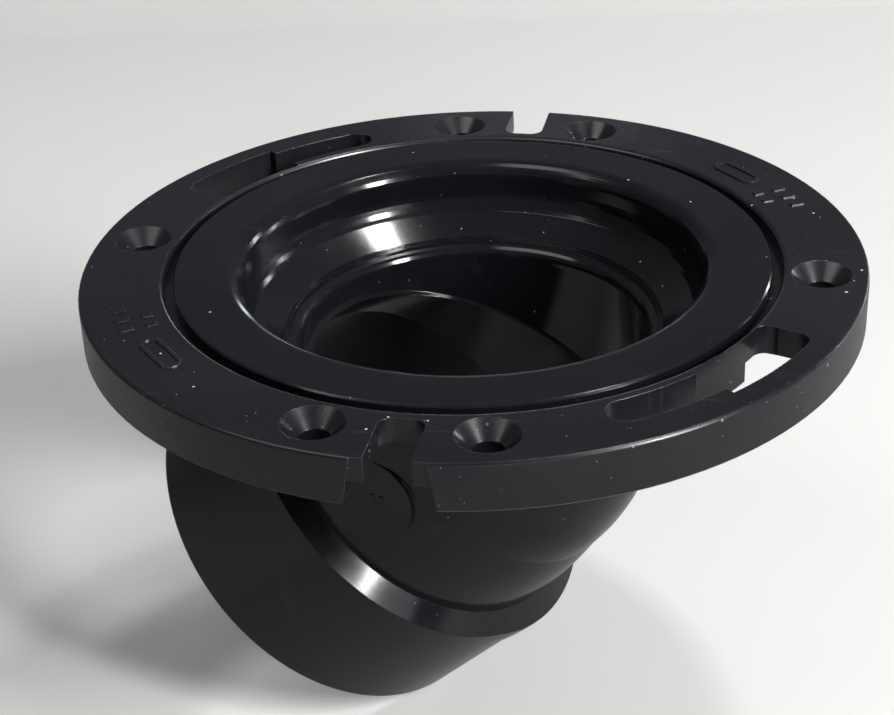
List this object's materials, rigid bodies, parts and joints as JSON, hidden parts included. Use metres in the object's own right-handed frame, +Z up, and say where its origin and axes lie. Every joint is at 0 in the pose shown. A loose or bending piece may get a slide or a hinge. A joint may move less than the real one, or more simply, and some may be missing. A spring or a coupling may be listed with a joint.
{
  "type": "closet flange",
  "caption": "Round closet flange: a floor ring with screw holes, rim notches and keyhole bolt slots turns on the lip of a bowl that narrows into a 45 degree elbow with a pipe socket.",
  "frame": {"origin": "on the flange axis, in the plane of the floor ring's underside, which is the centre of the floor screw pattern", "axes": "+Z up along the flange axis, out of the bowl; the two rim notches lie on the Y axis, and the outlet points down at 45 degrees towards -X, 15 degrees round to +Y"},
  "size_m": [0.1778, 0.1772, 0.1167],
  "materials": {
    "ring_abs": "satin moulded black plastic",
    "hub_abs": "glossy moulded black plastic"
  },
  "bodies": {
    "ring": {"swivel_ring": "ring_abs"},
    "hub": {"elbow_hub": "hub_abs"}
  },
  "joints": [
    {"name": "hub_swivel", "type": "hinge", "parent": "ring", "child": "hub", "pos_m": [0, 0, 0.008], "axis": [0, 0, 1], "continuous": true}
  ]
}
